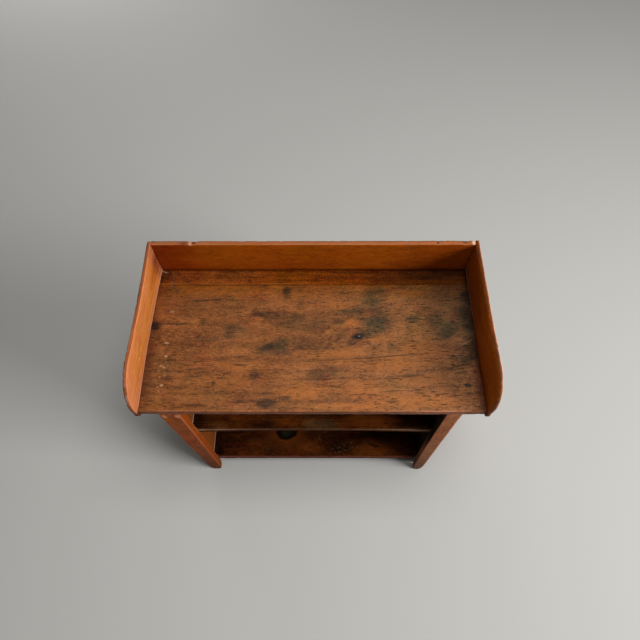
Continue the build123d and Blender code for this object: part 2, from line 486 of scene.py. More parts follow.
@cache
def nails_in(node):
    """Each nail of a CAD node: the middle of its head's face, the way it is driven and its length.

    They come in the order of their places, so that each run gives a nail the same random draws.
    """
    bm = bmesh.new()
    bm.from_mesh(frame["nodes"][node].data)
    bmesh.ops.remove_doubles(bm, verts=bm.verts, dist=weld)
    nails = []
    for points in islands(bm):
        low = Vector([min(point[i] for point in points) for i in range(3)])
        high = Vector([max(point[i] for point in points) for i in range(3)])
        middle = (low + high) / 2
        axis = max(range(3), key=lambda i: high[i] - low[i])
        drive = Vector([float(i == axis) for i in range(3)])
        widest = max(points, key=lambda point: (point - middle - drive * (point - middle).dot(drive)).length)
        if (widest - middle).dot(drive) > 0:
            drive = -drive
        length = high[axis] - low[axis]
        nails.append({"head": middle - drive * length / 2, "drive": drive, "length": length})
    bm.free()
    return sorted(nails, key=lambda nail: nail["head"][:])


def forged_nail(nail, draw):
    """The mesh of one cut nail: a hammered, faceted head on a tapering four-sided shank."""
    bm = bmesh.new()
    bmesh.ops.create_cube(bm, size=1.0)
    bmesh.ops.scale(bm, vec=nail_head, verts=bm.verts)
    bmesh.ops.translate(bm, vec=(0, 0, -nail_head.z / 2), verts=bm.verts)
    bmesh.ops.bevel(bm, geom=bm.edges[:], offset=nail_head_ease, segments=2, profile=0.5, affect="EDGES",
                    material=-1)
    for vert in sorted(bm.verts, key=lambda vert: vert.co[:]):
        vert.co += Vector([draw.uniform(-nail_hammering, nail_hammering) for _ in range(3)])
    shank_length = nail["length"] - nail_head.z
    shank = bmesh.ops.create_cone(bm, cap_ends=True, segments=4, radius1=nail_point * nail_corner,
                                  radius2=nail_shank * nail_corner, depth=shank_length)["verts"]
    square = Matrix.Rotation(math.radians(45), 3, "Z")
    bmesh.ops.rotate(bm, verts=shank, cent=(0, 0, 0), matrix=square)
    shank_middle = nail_shank_seat - nail_head.z - shank_length / 2
    bmesh.ops.translate(bm, vec=(0, 0, shank_middle), verts=shank)
    spin = Matrix.Rotation(draw.uniform(-nail_turn, nail_turn), 3, "Z")
    lean = nail["drive"].to_track_quat("-Z", "Y").to_matrix()
    bmesh.ops.rotate(bm, verts=bm.verts, cent=(0, 0, 0), matrix=lean @ spin)
    sunk = nail_proud * draw.uniform(-0.4, 1.0)
    bmesh.ops.translate(bm, vec=nail["head"] - nail["drive"] * sunk, verts=bm.verts)
    mesh = bpy.data.meshes.new("nail")
    bm.to_mesh(mesh)
    bm.free()
    return mesh


def nail_group(node, seed):
    """The nails of one joint as one piece."""
    draw = random.Random(seed)
    bm = bmesh.new()
    for nail in nails_in(node):
        if node == "gallery_side_nails_left":
            nail = {**nail, "head": nail["head"] + Vector((left_side_shift(nail["head"]), 0, 0))}
        single = forged_nail(nail, draw)
        bm.from_mesh(single)
        bpy.data.meshes.remove(single)
    bmesh.ops.recalc_face_normals(bm, faces=bm.faces)
    return stand_for(mesh_piece(f"forged_{node}", bm), node)


# =====================================================================================
# Shader nodes
# =====================================================================================
def paint(*colour):
    """A colour as the eye names it, 0 to 255, turned to the light values that shaders use."""
    shares = [part / 255 for part in colour]
    light = [share / 12.92 if share < 0.04 else ((share + 0.055) / 1.055) ** 2.4 for share in shares]
    return (*light, 1.0)


def add(tree, kind, inputs=(), **settings):
    """A shader node with its options set and its inputs linked or filled in."""
    made = tree.nodes.new("ShaderNode" + kind)
    for key, value in settings.items():
        setattr(made, key, value)
    for key, value in dict(inputs).items():
        if isinstance(value, bpy.types.NodeSocket):
            tree.links.new(value, made.inputs[key])
        else:
            made.inputs[key].default_value = value
    return made


def sum_of(tree, operation, *values):
    """What a Math node makes of its values."""
    return add(tree, "Math", enumerate(values), operation=operation).outputs[0]


def vector_of(tree, operation, *values):
    """What a Vector Math node makes of its values."""
    made = add(tree, "VectorMath", enumerate(values), operation=operation)
    return made.outputs["Value" if operation == "LENGTH" else "Vector"]


def rise(tree, value, start, end, top=1.0):
    """0 at start and top at end, with a smooth rise between them. It falls where start is the larger."""
    inputs = {"Value": value, "From Min": start, "From Max": end, "To Max": top}
    return add(tree, "MapRange", inputs, interpolation_type="SMOOTHSTEP").outputs[0]


def mix(tree, share, first, second, blend="MIX"):
    """A share of the second colour over the first."""
    inputs = {0: share, 6: first, 7: second}
    return add(tree, "Mix", inputs, data_type="RGBA", blend_type=blend, clamp_factor=True).outputs[2]


def cloud(tree, place, scale, detail=2.0, roughness=0.5, stretch=None):
    """Noise, 0 to 1, over places that may be stretched first."""
    if stretch:
        place = vector_of(tree, "MULTIPLY", place, stretch)
    inputs = {"Vector": place, "Scale": scale, "Detail": detail, "Roughness": roughness}
    return add(tree, "TexNoise", inputs).outputs["Fac"]


def turned(tree, place, angle):
    """Places turned about the upright axis."""
    return add(tree, "VectorRotate", {"Vector": place, "Angle": angle}, rotation_type="Z_AXIS").outputs[0]


def tones(tree, share, *stops):
    """Colours along a ramp, each stop a place and its colour."""
    made = add(tree, "ValToRGB", {0: share})
    ramp = made.color_ramp
    while len(ramp.elements) < len(stops):
        ramp.elements.new(0.5)
    for element, (place, colour) in zip(ramp.elements, stops):
        element.position = place
        element.color = colour
    return made.outputs[0]


ORIGIN = (0.0, 0.0, 0.0)


def effect(name, inputs, outputs=("Mask",)):
    """An empty node group with named sockets. It returns the tree, its inputs and its output node."""
    tree = bpy.data.node_groups.new(name, "ShaderNodeTree")
    for socket, value in inputs.items():
        kind = "NodeSocketVector" if isinstance(value, tuple) else "NodeSocketFloat"
        tree.interface.new_socket(name=socket, in_out="INPUT", socket_type=kind).default_value = value
    for socket in outputs:
        tree.interface.new_socket(name=socket, in_out="OUTPUT", socket_type="NodeSocketFloat")
    return tree, tree.nodes.new("NodeGroupInput").outputs, tree.nodes.new("NodeGroupOutput")


def use(tree, group, **inputs):
    """A node group placed in a material with its own values. An underscore stands for a space in a name."""
    named = {key.replace("_", " "): value for key, value in inputs.items()}
    return add(tree, "Group", named, node_tree=group).outputs


def pine_grain():
    """Growth rings, streaks, fibres and short dark pores. Place has the grain along X, in metres."""
    tree, given, out = effect(
        "pine_grain",
        {"Place": ORIGIN, "Pith": ORIGIN, "Ring Width": 4 * MM, "Wander": 8 * MM, "Lift": 0.0},
        ("Rings", "Streaks", "Fibre", "Pores"))
    place = given["Place"]
    bend = cloud(tree, place, 1.0, 2, 0.5, (2.2, 14, 14))
    from_pith = vector_of(tree, "MULTIPLY", vector_of(tree, "SUBTRACT", place, given["Pith"]), (0.035, 1, 1))
    radius = vector_of(tree, "LENGTH", from_pith)
    radius = sum_of(tree, "MULTIPLY_ADD", bend, given["Wander"], radius)
    radius = sum_of(tree, "ADD", radius, given["Lift"])
    turn = sum_of(tree, "FRACT", sum_of(tree, "DIVIDE", radius, given["Ring Width"]))
    late = sum_of(tree, "MULTIPLY", rise(tree, turn, 0.35, 0.9), rise(tree, turn, 1.0, 0.93))
    tree.links.new(late, out.inputs["Rings"])
    tree.links.new(cloud(tree, place, 1.0, 4, 0.62, (17, 105, 105)), out.inputs["Streaks"])
    tree.links.new(cloud(tree, place, 1.0, 3, 0.65, (70, 520, 520)), out.inputs["Fibre"])
    patchy = cloud(tree, place, 19.0, 2, 0.5)
    short = cloud(tree, place, 1.0, 2, 0.5, (85, 400, 400))
    long = cloud(tree, vector_of(tree, "ADD", place, (3, 1, 2)), 1.0, 2, 0.5, (34, 300, 300))
    least = sum_of(tree, "MULTIPLY_ADD", patchy, -0.22, 0.71)
    darkest = sum_of(tree, "SUBTRACT", sum_of(tree, "MAXIMUM", short, long), least)
    tree.links.new(rise(tree, darkest, 0.0, 0.09), out.inputs["Pores"])
    return tree


def mark():
    """One mark at a place: 1 in its middle, half at its reach, its edge made ragged by a noise."""
    tree, given, out = effect("mark", {
        "Place": ORIGIN, "Middle": ORIGIN, "Reach": (1.0, 1.0, 1.0), "Turn": 0.0, "Ragged": 0.0,
        "Soft": 0.6, "Strength": 1.0})
    offset = vector_of(tree, "SUBTRACT", given["Place"], given["Middle"])
    shares = vector_of(tree, "DIVIDE", turned(tree, offset, given["Turn"]), given["Reach"])
    far = sum_of(tree, "ADD", vector_of(tree, "LENGTH", shares), given["Ragged"])
    outer = sum_of(tree, "MULTIPLY_ADD", given["Soft"], 0.5, 1.0)
    inner = sum_of(tree, "MULTIPLY_ADD", given["Soft"], -0.5, 1.0)
    tree.links.new(rise(tree, far, outer, inner, given["Strength"]), out.inputs["Mask"])
    return tree


def edge_wear():
    """Where an arris is rubbed bare: 1 on it, broken up by a noise a little way in."""
    tree, given, out = effect("edge_wear", {"Arris": 1.0, "Break Up": 0.5, "Reach": 3 * MM})
    share = sum_of(tree, "DIVIDE", given["Arris"], given["Reach"])
    share = sum_of(tree, "ADD", share, sum_of(tree, "MULTIPLY", given["Break Up"], 1.3))
    tree.links.new(rise(tree, share, 1.25, 0.55), out.inputs["Mask"])
    return tree


def scratches():
    """Long thin scratches in one direction, only here and there."""
    tree, given, out = effect("scratches", {"Place": ORIGIN, "Turn": 0.0, "Share": 0.5})
    lines = cloud(tree, turned(tree, given["Place"], given["Turn"]), 1.0, 1, 0.5, (9, 260, 260))
    off = sum_of(tree, "ABSOLUTE", sum_of(tree, "SUBTRACT", lines, 0.5))
    thin = rise(tree, off, 0.012, 0.003)
    where = cloud(tree, given["Place"], 23.0, 2, 0.5)
    shown = rise(tree, sum_of(tree, "ADD", where, given["Share"]), 0.98, 1.06)
    tree.links.new(sum_of(tree, "MULTIPLY", thin, shown), out.inputs["Mask"])
    return tree


def specks():
    """Small separate specks: paint, lime and dust caught in the grain."""
    tree, given, out = effect("specks", {"Place": ORIGIN, "Scale": 120.0, "Share": 0.1})
    cells = add(tree, "TexVoronoi", {"Vector": given["Place"], "Scale": given["Scale"], "Randomness": 1.0})
    chance = add(tree, "SeparateColor", {"Color": cells.outputs["Color"]}).outputs[0]
    chosen = sum_of(tree, "LESS_THAN", chance, given["Share"])
    spot = rise(tree, cells.outputs["Distance"], 0.34, 0.14)
    tree.links.new(sum_of(tree, "MULTIPLY", spot, chosen), out.inputs["Mask"])
    return tree


def corner_shade_and_dirt():
    """Dirt and painted shade in the corners of a box that is open in front and above: 1 at its walls, 0 past
    the reach.
    """
    tree, given, out = effect("corner_shade_and_dirt", {
        "Place": ORIGIN, "Half Width": 1.0, "Rear": 1.0, "Ragged": 0.0, "Reach": 20 * MM})
    axes = add(tree, "SeparateXYZ", {"Vector": given["Place"]}).outputs
    from_side = sum_of(tree, "SUBTRACT", given["Half Width"], sum_of(tree, "ABSOLUTE", axes["X"]))
    from_rear = sum_of(tree, "SUBTRACT", given["Rear"], axes["Y"])
    nearest = sum_of(tree, "SMOOTH_MIN", from_side, from_rear, 10 * MM)
    share = sum_of(tree, "ADD", sum_of(tree, "DIVIDE", nearest, given["Reach"]), given["Ragged"])
    tree.links.new(rise(tree, share, 1.0, 0.0), out.inputs["Mask"])
    return tree


PINE_GRAIN = pine_grain()
MARK = mark()
EDGE_WEAR = edge_wear()
SCRATCHES = scratches()
SPECKS = specks()
CORNER_SHADE_AND_DIRT = corner_shade_and_dirt()
GRAIN_TURNS = {X_AXIS: (0, 0, 0), Y_AXIS: (0, 0, -math.pi / 2), Z_AXIS: (0, math.pi / 2, 0)}
SEED_STEP = (1.37, 0.71, 0.53)
ENDLESS = 1e7


class Board:
    """A board's material while it is being made: its node tree and the patterns that every board has."""

    def __init__(self, name, grain, seed, ring_width=4 * MM, pith=(0.02, 0.06), lift=None, wander=8 * MM):
        self.material = bpy.data.materials.new(name)
        self.material.use_nodes = True
        self.tree = self.material.node_tree
        self.shader = self.tree.nodes["Principled BSDF"]
        self.place = add(self.tree, "TexCoord").outputs["Object"]
        along = add(self.tree, "Mapping", {"Vector": self.place, "Rotation": GRAIN_TURNS[grain]}).outputs[0]
        away = tuple(seed * step for step in SEED_STEP)
        self.grain_place = vector_of(self.tree, "ADD", along, away)
        centre = (away[0], away[1] + pith[0], away[2] + pith[1])
        self.ragged = self.sum("SUBTRACT", self.cloud(55, 4, 0.62, (0.6, 1, 1)), 0.5)
        grain_inputs = {"Place": self.grain_place, "Pith": centre, "Ring_Width": ring_width, "Wander": wander}
        if lift:
            grain_inputs["Lift"] = lift(self)
        self.grain = use(self.tree, PINE_GRAIN, **grain_inputs)
        self.arris = add(self.tree, "Attribute", attribute_name="arris").outputs["Fac"]
        self.axes = add(self.tree, "SeparateXYZ", {"Vector": self.place}).outputs
        self.crumbly = self.sum("SUBTRACT", self.cloud(330, 3, 0.6), 0.5)
        patches = self.rise(self.cloud(95, 3, 0.6, (0.35, 1, 1)), 0.34, 0.6)
        self.half_patchy = self.sum("MULTIPLY_ADD", patches, 0.4, 0.6)
        in_grain = self.rise(self.grain["Fibre"], 0.36, 0.62)
        self.soaked = self.both(self.half_patchy, self.sum("MULTIPLY_ADD", in_grain, 0.45, 0.65))
        self.heights = []

    def cloud(self, scale, detail=3.0, roughness=0.55, stretch=(1, 1, 1)):
        """Noise that may be stretched along the grain."""
        return cloud(self.tree, self.grain_place, scale, detail, roughness, stretch)

    def sum(self, operation, *values):
        return sum_of(self.tree, operation, *values)

    def both(self, *masks):
        """Where all of several masks are: their product."""
        return reduce(lambda first, second: self.sum("MULTIPLY", first, second), masks)

    def either(self, *masks):
        """Where one of several masks is: the strongest of them."""
        return reduce(lambda first, second: self.sum("MAXIMUM", first, second), masks)

    def scaled(self, value, factor):
        return self.sum("MULTIPLY", value, factor)

    def rise(self, value, start, end):
        return rise(self.tree, value, start, end)

    def towards(self, axis, start, end, ragged=0.0, base=0.0):
        """A rise along an axis, from start to end in millimetres past base, its edge made ragged."""
        place = self.axes[axis]
        if ragged:
            place = self.sum("MULTIPLY_ADD", self.ragged, ragged * MM, place)
        return self.rise(place, base + start * MM, base + end * MM)

    def line(self, axis, middle, reach):
        """A soft line square to an axis: 1 in its middle, 0 past its reach to either side."""
        off = self.sum("ABSOLUTE", self.sum("SUBTRACT", self.axes[axis], middle))
        return self.rise(off, reach, reach * 0.3)

    def worn_arris(self, reach):
        """Where the arrises are rubbed bare."""
        return use(self.tree, EDGE_WEAR, Arris=self.arris, Break_Up=self.ragged, Reach=reach)["Mask"]

    def shade_and_dirt_in_corners(self, half_width, ragged, reach):
        """Dirt and painted shade along the two ends and the rear of the space that a level board floors."""
        return use(self.tree, CORNER_SHADE_AND_DIRT, Place=self.place, Half_Width=half_width, Rear=tray_rear,
                   Ragged=self.scaled(self.ragged, ragged), Reach=reach)["Mask"]

    def mark(self, middle, reach, turn=0.0, strength=1.0, soft=0.6, ragged=1.0, fine=False):
        """One mark: middle and reach in millimetres, turn in degrees. A fine one has a crumbly edge."""
        rough = self.scaled(self.crumbly if fine else self.ragged, ragged)
        middle = [value * MM for value in middle]
        reach = [value * MM for value in reach]
        return use(self.tree, MARK, Place=self.place, Middle=middle, Reach=reach, Turn=-math.radians(turn),
                   Ragged=rough, Soft=soft, Strength=strength)["Mask"]

    def marks_on_top(self, marks, soft=0.6, ragged=1.0, fine=False):
        """The strongest of several marks on a level face: x, y, half length, half width, turn, strength."""
        masks = [self.mark((x, y, 0), (length, width, ENDLESS), turn, strength, soft, ragged, fine)
                 for x, y, length, width, turn, strength in marks]
        return self.either(*masks)

    def colour(self, deep, body, bright, streak=1.0, rings=0.35, blotch=1.0, mottle=0.2, tint=1.0):
        """The finish over the wood: dark and light tones by streaks, rings and blotches."""
        tone = self.sum("MULTIPLY_ADD", self.grain["Rings"], -rings, 0.5 + 0.25 * rings)
        layers = (
            (self.cloud(11, 4, 0.6, (0.6, 1, 1)), 0.8 * blotch),
            (self.cloud(48, 3, 0.6, (0.5, 1, 1)), 0.7 * blotch),
            (self.cloud(170, 3, 0.65, (0.55, 1, 1)), 0.6 * blotch),
            (self.grain["Streaks"], 0.45 * streak),
            (self.grain["Fibre"], 0.8 * streak),
        )
        for layer, weight in layers:
            tone = self.sum("MULTIPLY_ADD", self.sum("SUBTRACT", layer, 0.5), weight, tone)
        tone = self.sum("MULTIPLY_ADD", self.crumbly, mottle, tone)
        self.now = tones(self.tree, tone, (0.08, deep), (0.5, body), (0.92, bright))
        russet = self.rise(self.cloud(17, 4, 0.65, (0.5, 1, 1)), 0.48, 0.66)
        olive = self.rise(self.cloud(23, 4, 0.65, (0.6, 1, 1)), 0.5, 0.68)
        self.stain(russet, russet_veil, tint)
        return self.stain(olive, olive_veil, tint)

    def over(self, share, colour, strength=1.0, blend="MIX"):
        """Lays a colour over what is there."""
        if strength != 1.0:
            share = self.scaled(share, strength)
        self.now = mix(self.tree, share, self.now, colour, blend)
        return self

    def stain(self, share, veil, strength=1.0):
        """Lays a veil over what is there, which lets through its own share of the red, green and blue."""
        return self.over(share, veil, strength, "MULTIPLY")

    def raised(self, value, height):
        """Adds to the surface's fine relief, in metres where value is 1."""
        self.heights.append(self.scaled(value, height))
        return self

    def dull(self, scale, spread, least):
        """A roughness that changes in patches, from least upwards."""
        return self.sum("MULTIPLY_ADD", self.cloud(scale, 3), spread, least)

    def done(self, roughness, specular=0.25):
        """Wires the colour, the roughness and the relief to the shader."""
        links = self.tree.links
        links.new(self.now, self.shader.inputs["Base Color"])
        links.new(roughness, self.shader.inputs["Roughness"])
        self.shader.inputs["Specular IOR Level"].default_value = specular
        height = reduce(lambda first, second: self.sum("ADD", first, second), self.heights)
        bump = add(self.tree, "Bump", {"Height": height, "Strength": 1.0, "Distance": 1.0})
        links.new(bump.outputs[0], self.shader.inputs["Normal"])
        return self.material


# =====================================================================================
# Finishes
# =====================================================================================
def veil(red, green, blue):
    """What a stain lets through of the wood's own red, green and blue."""
    return (red, green, blue, 1.0)


TRAY_BROWN = (paint(74, 42, 19), paint(126, 75, 37), paint(160, 98, 50))
STRIP_BROWN = (paint(56, 23, 5), paint(106, 51, 14), paint(136, 73, 24))
# The left gallery side's ambers are lighter than the others': painted light where the window falls on it.
LEFT_LIT_AMBER = (paint(160, 88, 28), paint(203, 123, 55), paint(228, 148, 82))
BACK_AMBER = (paint(114, 49, 2), paint(157, 76, 4), paint(181, 95, 12))
RIGHT_AMBER = (paint(138, 62, 6), paint(174, 90, 11), paint(196, 112, 22))
LEFT_CASE_BROWN = (paint(98, 37, 5), paint(154, 70, 12), paint(184, 93, 22))
RIGHT_CASE_BROWN = (paint(107, 56, 29), paint(161, 95, 55), paint(191, 124, 80))
END_BROWN = (paint(80, 36, 14), paint(122, 64, 28), paint(150, 86, 44))
UPPER_SHELF_BROWN = (paint(30, 12, 2), paint(67, 31, 6), paint(104, 53, 16))
LOWER_SHELF_BROWN = (paint(28, 10, 1), paint(62, 27, 4), paint(97, 48, 12))
RAW_PINE = (paint(58, 42, 26), paint(106, 78, 48), paint(142, 110, 72))

# A gallery board's edge: its tones from the arris inside the tray to the one outside. The pale tones are worn
# wood and painted highlights, the darkest partly painted shade.
BACK_EDGE = (paint(158, 98, 62), paint(146, 88, 54), paint(98, 52, 28))
RIGHT_EDGE = (paint(40, 17, 4), paint(104, 56, 28), paint(208, 166, 146))
LEFT_EDGE_INNER, LEFT_EDGE_OUTER = paint(198, 116, 70), paint(66, 32, 20)
LEFT_EDGE_BROWN, LEFT_EDGE_LILAC = paint(126, 70, 40), paint(150, 112, 104)

# Wood and finish worn or soaked through.
honey = paint(168, 98, 42)
plank_fibre = paint(172, 108, 60)
strip_fibre = paint(150, 80, 24)
bare_pink = paint(206, 134, 100)
bare_chip = paint(225, 190, 165)
front_tan = paint(172, 104, 60)
rubbed_pink = paint(186, 118, 92)
pink_top = paint(210, 128, 84)
pink_foot = paint(184, 110, 76)
pink_front = paint(204, 120, 92)
light_streak = paint(212, 130, 74)
dark_streak = paint(156, 80, 18)
red_dark = paint(70, 28, 14)
shelf_warm = paint(126, 62, 16)
knot_brown = paint(112, 54, 16)
upper_edge = paint(140, 108, 86)
lower_edge = paint(104, 58, 48)
# The inner faces of the left stile and end board: painted light, the warm orange of the window's light
# falling on them.
left_stile_inside_lit = paint(136, 62, 14)
left_end_inside_lit = paint(132, 66, 18)
# The inner faces of the right stile and end board: near black, painted shade, as they turn from the window.
right_stile_inside_shade = paint(12, 5, 2)
right_end_inside_shade = paint(14, 6, 3)

# Dust, dirt, soap, putty and iron.
grime = paint(34, 20, 10)
rear_grime = paint(112, 48, 30)
dusty_mauve = paint(150, 112, 98)
dusty_olive = paint(140, 122, 82)
left_dust = paint(206, 148, 120)
right_dust = paint(196, 168, 150)
shelf_dust = paint(176, 156, 138)
soap_grey = paint(52, 50, 38)
# A painted glint on the plank's knot.
knot_glint = paint(110, 108, 108)
pale_putty = paint(188, 148, 108)
nail_stain = paint(58, 46, 38)
IRON = ((0.3, paint(26, 19, 16)), (0.55, paint(66, 32, 18)), (0.8, paint(112, 60, 32)))

damp_veil = veil(0.28, 0.50, 0.70)
# The veil for the tray's corners: dirt and painted shade.
corner_shade_veil = veil(0.28, 0.11, 0.03)
golden_veil = veil(0.76, 0.64, 0.12)
shade_veil = veil(0.52, 0.48, 0.42)
ink_veil = veil(0.18, 0.27, 0.44)
soot_veil = veil(0.16, 0.16, 0.20)
red_veil = veil(0.66, 0.46, 0.50)
russet_veil = veil(0.98, 0.78, 0.84)
olive_veil = veil(0.80, 0.92, 0.74)
cool_veil = veil(0.97, 1.07, 1.2)
front_veil = veil(0.68, 0.46, 0.30)
yellow_veil = veil(1.0, 0.9, 0.2)
# A grey veil for the strip's right part: painted shadow of the right gallery side.
painted_shadow_veil = veil(0.47, 0.47, 0.48)
plum_veil = veil(0.86, 0.74, 1.0)
brass_veil = veil(0.82, 0.66, 0.26)
rear_ash_veil = veil(0.78, 0.78, 0.86)
front_ash_veil = veil(0.84, 0.84, 0.88)
low_veil = veil(0.64, 0.69, 0.8)
splash_veil = veil(0.5, 0.62, 0.8)
foot_veil = veil(0.66, 0.68, 0.8)
knot_veil = veil(0.05, 0.06, 0.07)

# Marks in millimetres from the bench's middle: x, y, half length, half width, turn and strength.
damp_marks = [
    (146, 24, 30, 24, 20, 1.0), (160, 40, 26, 18, 0, 0.85), (124, 2, 22, 12, 20, 1.0),
    (172, 28, 14, 20, 0, 0.6), (140, 88, 24, 32, 0, 0.75), (112, 68, 24, 14, 20, 0.7),
    (78, 59, 22, 8, 5, 0.75), (152, 112, 26, 16, 0, 0.6), (-98, -36, 38, 17, 5, 0.5),
    (-72, -28, 20, 16, 0, 0.8), (-132, -106, 10, 20, 0, 0.45), (-40, -20, 40, 14, 0, 0.3),
    (322, 12, 36, 26, 20, 0.9), (356, -50, 30, 28, 35, 0.4), (368, 46, 22, 80, 0, 0.9),
    (332, 56, 46, 70, 0, 0.5), (300, 34, 28, 24, 0, 0.7), (188, -35, 14, 10, 0, 0.5),
    (24, -100, 44, 15, 10, 0.5), (238, 40, 14, 12, 0, 0.7), (-30, 30, 56, 20, 0, 0.45),
    (-364, -100, 16, 66, 0, 0.4), (-180, 10, 40, 20, 0, 0.4), (-338, -92, 24, 30, 0, 0.4),
]
ink_marks = [
    (-98, -34, 26, 13, 5, 0.55), (-130, 55, 18, 7, 4, 0.75), (-100, 52, 24, 10, 0, 0.85),
    (-66, 52, 44, 10, 2, 0.4), (-66, 118, 10, 12, 0, 1.0), (-63, 102, 9, 8, 0, 0.9),
    (-100, -168, 24, 11, 0, 1.0), (-60, -157, 15, 5, 8, 0.8), (-142, -165, 34, 4, 3, 0.8),
    (-100, -148, 16, 6, 0, 0.4), (-374, 23, 18, 11, 0, 1.0), (-336, 29, 34, 2.6, 2, 0.7),
    (347, -127, 8, 5, 0, 1.0), (106, -6, 15, 8, 10, 1.0), (94, -20, 12, 8, 40, 0.6),
    (-222, -122, 5, 8, 0, 0.9), (-196, 0, 12, 13, 0, 0.7), (-262, 34, 8, 8, 0, 0.8),
    (64, 33, 14, 8, 0, 0.7), (356, -52, 24, 19, 35, 0.5), (-132, -104, 8, 15, 0, 0.4),
    (-245, -12, 26, 8, 0, 0.5), (-190, 16, 24, 7, 0, 0.5), (-84, -48, 30, 6, 4, 0.6),
]
blot_marks = [
    (-100, -169, 20, 8, 0, 0.6), (-375, 23, 14, 9, 0, 0.7), (105, -6, 14, 8, 10, 0.8),
    (-66, 117, 9, 10, 0, 0.3), (347, -127, 7, 4.5, 0, 0.7), (-100, -31, 12, 9, 0, 0.6),
]
dash_marks = [
    (-276, 92, 27, 3, 3, 1), (-238, 95, 17, 2.4, 4, 0.91), (-165, -78, 18, 2.8, -4, 0.95),
    (-268, -88, 22, 2.1, 2, 0.81), (222, -104, 24, 3.7, 4, 0.7), (-262, -174, 26, 3.2, 0, 0.81),
    (176, -56, 97, 1.5, 4.6, 0.95), (-22, -38, 39, 1.7, 2, 0.81), (50, -65, 53, 1.4, 3, 0.56),
    (172, -141, 20, 2.2, 3, 0.7), (225, -139, 14, 1.9, 4, 0.7), (52, -130, 20, 2.1, -8, 0.81),
    (68, -124, 14, 1.9, 28, 0.7), (330, -97, 10, 3.2, 5, 0.95), (345, -95, 7, 3, 0, 1),
    (300, -129, 36, 1.3, 0, 0.6), (277, -150, 4, 3.7, 0, 0.91), (-14, -92, 27, 1.9, 4, 0.6),
    (20, -152, 9, 2.6, 0, 0.6), (-205, 75, 20, 1.5, 2, 0.5), (98, -22, 17, 1.9, 30, 0.49),
    (86, -14, 14, 1.8, 60, 0.49), (335, -80, 36, 2.1, 14, 0.81), (330, -88, 31, 1.8, 8, 0.76),
    (180, -165, 14, 4.6, 0, 0.56), (-118, -90, 36, 1.8, 2, 0.5), (-322, 28, 41, 3, 1, 0.81),
    (-180, -57, 34, 1.7, 1, 0.5), (-60, -72, 26, 1.5, 3, 0.5),
]
warm_marks = [
    (-20, -144, 52, 18, 0, 0.7), (60, -50, 67, 10, 4, 0.5), (-370, 78, 12, 36, 0, 0.3),
    (220, -164, 110, 16, 0, 0.7), (90, 30, 17, 10, 0, 0.55), (80, -70, 45, 8, 4, 0.45),
    (-180, -120, 63, 15, 0, 0.4), (200, -74, 80, 20, 3, 0.55), (110, -138, 60, 20, 0, 0.55),
    (150, -14, 35, 7, 5, 0.5), (-290, -178, 56, 6, 0, 0.4), (80, -176, 90, 8, 0, 0.8),
    (-360, -172, 22, 14, 0, 0.2), (-20, 110, 60, 14, 0, 0.3), (-150, -84, 50, 14, 0, 0.5),
    (250, -40, 50, 18, 0, 0.5), (250, -118, 50, 16, 0, 0.4), (50, 76, 44, 12, 0, 0.4),
    (-210, 122, 90, 14, 0, 0.4), (240, 112, 40, 10, 0, 0.4),
]
speck_marks = [
    (-340, 62, 4.5, 2.6, 0, 0.5), (-341, -22, 5.5, 2.2, 0, 0.75), (-338, -56, 3, 2.8, 0, 0.95),
    (-346, -80, 4, 2.4, 20, 0.6), (-339, -84, 3.6, 2.2, -20, 0.65), (-338, -127, 3.8, 2.8, 0, 0.85),
    (-334, -104, 2.2, 1.7, 0, 0.5), (-342, -142, 2.4, 1.8, 0, 0.45), (-330, -78, 2.4, 1.8, 0, 0.4),
    (-345, -108, 2.6, 1.9, 0, 0.5), (-376, 177, 4, 3, 0, 0.7), (-372, 140, 6, 1.6, 0, 0.5),
    (10, -177, 2.2, 1.8, 0, 0.5), (-140, -177, 2, 1.8, 0, 0.6), (-350, -92, 2.2, 1.6, 0, 0.4),
    (-352, -118, 2, 1.6, 0, 0.35), (-336, -70, 2, 1.6, 0, 0.35), (-346, -132, 2.4, 1.6, 0, 0.4),
]
scrape_marks = [
    (334, -1, 15.2, 1.1, 38, 0.8), (356, -22, 21.6, 1.2, 31, 0.85), (343, -13, 11.2, 1, 34, 0.6),
]
rub_marks = [
    (278, -187, 44, 5, 0, 0.8), (200, -187, 24, 5, 0, 0.3), (-312, -187, 22, 5, 0, 0.3),
    (-150, -187, 20, 5, 0, 0.3),
]
# Darker patches on the top; those at its right rear are painted shadow of the right gallery side.
shade_marks = [
    (-326, 76, 56, 42, 0, 0.6), (270, 120, 60, 16, 0, 0.3), (-276, -176, 42, 7, 0, 0.7),
    (356, 90, 26, 60, 0, 0.7), (-364, -30, 18, 50, 0, 0.3), (338, 128, 48, 24, 0, 1.0),
    (-110, -160, 34, 18, 0, 0.4), (330, 100, 40, 20, 0, 0.5),
]
plank_nail_marks = [(-346, 130, 5, 4.2, 0, 0.8), (-336, 119, 5, 4, 0, 0.7)]
strip_ink_marks = [
    (-240, 162, 9, 8, 0, 0.6), (-158, 149, 5, 5, 0, 0.7), (-145, 139, 12, 5, 0, 0.5),
    (262, 158, 40, 9, 0, 0.6), (320, 166, 50, 10, 0, 0.7), (350, 172, 60, 12, 0, 0.8),
    (226, 168, 24, 5, 0, 0.7), (345, 152, 34, 5, 0, 0.5), (-368, 164, 14, 18, 0, 0.9),
    (-60, 168, 40, 4, 0, 0.4), (60, 158, 50, 4, 0, 0.4), (-300, 139, 26, 3, 0, 0.8),
    (-190, 159, 70, 2.5, 0, 0.5), (-20, 150, 80, 2.5, 0, 0.6), (110, 172, 60, 3, 0, 0.6),
    (-300, 170, 40, 2.5, 0, 0.5),
]
strip_nail_marks = [
    (-347, 168, 5, 4.2, 0, 0.8), (-347, 152, 5, 4.2, 0, 0.9), (-346, 142, 4.2, 3.4, 0, 0.7),
]
